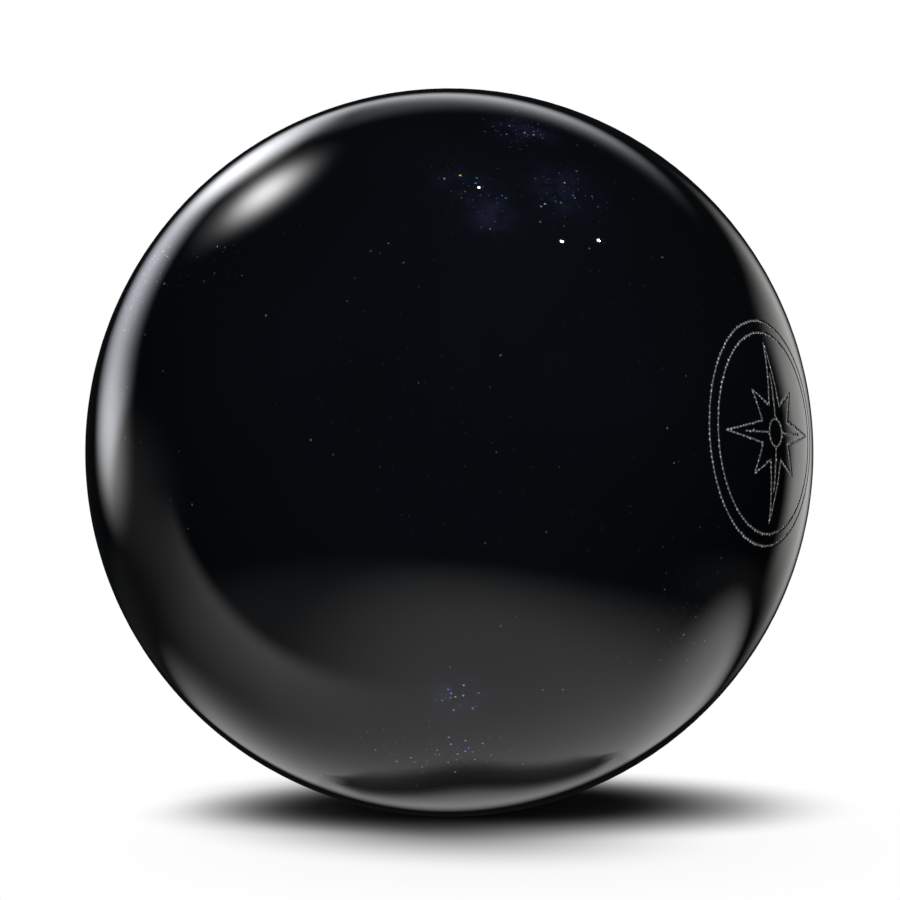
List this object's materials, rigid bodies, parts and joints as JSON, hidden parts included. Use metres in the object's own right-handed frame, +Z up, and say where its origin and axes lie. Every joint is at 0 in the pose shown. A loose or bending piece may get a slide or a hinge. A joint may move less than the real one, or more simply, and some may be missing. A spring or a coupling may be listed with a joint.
{
  "type": "bowling ball",
  "caption": "Undrilled black bowling ball: polished resin coverstock with fine flakes over a filler outer core and a keyed light-bulb weight block, with its locating pin.",
  "frame": {"origin": "centre of the ball", "axes": "+Z up, -Y towards the viewer of the picture, +X to the picture's right"},
  "size_m": [0.2172, 0.2172, 0.2172],
  "materials": {
    "cover_resin": "polished, with fine mica flakes",
    "filler": "matte casting with fine bubbles",
    "block_casting": "matte mineral-filled casting",
    "flip_casting": "matte mineral-filled casting",
    "pin_resin": "polished flush with the ball",
    "marker_resin": "polished flush with the ball"
  },
  "bodies": {
    "root": {"coverstock": "cover_resin", "outer_core": "filler", "weight_block": "block_casting", "flip_block": "flip_casting", "locating_pin": "pin_resin", "cg_marker": "marker_resin"}
  },
  "joints": []
}
